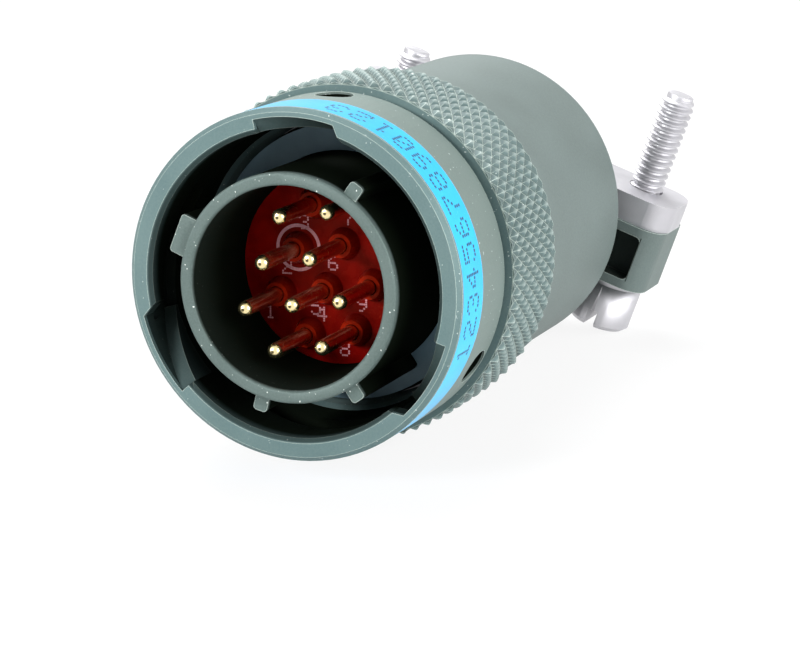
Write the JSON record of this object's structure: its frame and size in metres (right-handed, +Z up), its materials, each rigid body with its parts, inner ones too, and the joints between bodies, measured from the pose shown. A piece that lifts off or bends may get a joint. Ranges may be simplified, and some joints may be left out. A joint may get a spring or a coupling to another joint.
{
  "type": "circular connector",
  "caption": "Bayonet circular plug with pin contacts in a keyed barrel, a knurled coupling ring and a straight backshell with a cable clamp.",
  "frame": {"origin": "on the plug's axis, in the plane of the coupling ring's front face", "axes": "+Y along the plug's axis from the mating side to the cable, +Z up as the plug lies, +X to the right seen from the mating side"},
  "size_m": [0.0304, 0.0441, 0.0242],
  "materials": {
    "plated_aluminium": "matte olive-grey conductive plating",
    "band_blue": "smooth light blue",
    "insert_red": "dark red, slightly glossy and translucent",
    "insert_hard": "matte dark moulding",
    "seal_rubber": "matte black rubber",
    "contact_gold": "gold plated, polished",
    "bright_steel": "bright satin"
  },
  "bodies": {
    "plug": {"plug_shell": "plated_aluminium", "face_seal": "seal_rubber", "front_insert": "insert_red", "contact_wafer": "insert_hard", "rear_grommet": "seal_rubber", "contact_1": "contact_gold", "contact_2": "contact_gold", "contact_3": "contact_gold", "contact_4": "contact_gold", "contact_5": "contact_gold", "contact_6": "contact_gold", "contact_7": "contact_gold", "contact_8": "contact_gold", "contact_9": "contact_gold", "follower": "insert_hard", "backshell": "plated_aluminium", "retaining_ring": "bright_steel", "spring_washer": "bright_steel"},
    "thrust": {"thrust_washer": "bright_steel"},
    "ring": {"coupling_ring": "plated_aluminium", "marking_band": "band_blue"},
    "saddle": {"saddle_bar": "bright_steel"},
    "right_screw": {"clamp_screw_right": "bright_steel", "lock_washer_right": "bright_steel"},
    "left_screw": {"clamp_screw_left": "bright_steel", "lock_washer_left": "bright_steel"}
  },
  "joints": [
    {"name": "ring_float", "type": "slide", "parent": "plug", "child": "thrust", "axis": [0, -1, 0], "range_m": [0, 0.0004], "stiffness_N_per_m": 3000, "springref_m": -0.0005, "deforming": ["spring_washer"]},
    {"name": "ring_turn", "type": "hinge", "parent": "thrust", "child": "ring", "pos_m": [0, 0, 0], "axis": [0, 1, 0], "continuous": true},
    {"name": "saddle_lift", "type": "slide", "parent": "plug", "child": "saddle", "axis": [0.3465, 0, 0.9381], "range_m": [0, 0.00265]},
    {"name": "right_screw_turn", "type": "hinge", "parent": "plug", "child": "right_screw", "pos_m": [0.00957, 0.0404, -0.00353], "axis": [-0.3465, 0, -0.9381], "range_deg": [0, 1800]},
    {"name": "left_screw_turn", "type": "hinge", "parent": "plug", "child": "left_screw", "pos_m": [-0.00957, 0.0404, 0.00353], "axis": [-0.3465, 0, -0.9381], "range_deg": [0, 1800]}
  ],
  "couplings": [
    {"joint": "right_screw_turn", "follows": "saddle_lift", "rad_per_m": 11877},
    {"joint": "left_screw_turn", "follows": "saddle_lift", "rad_per_m": 11877}
  ]
}
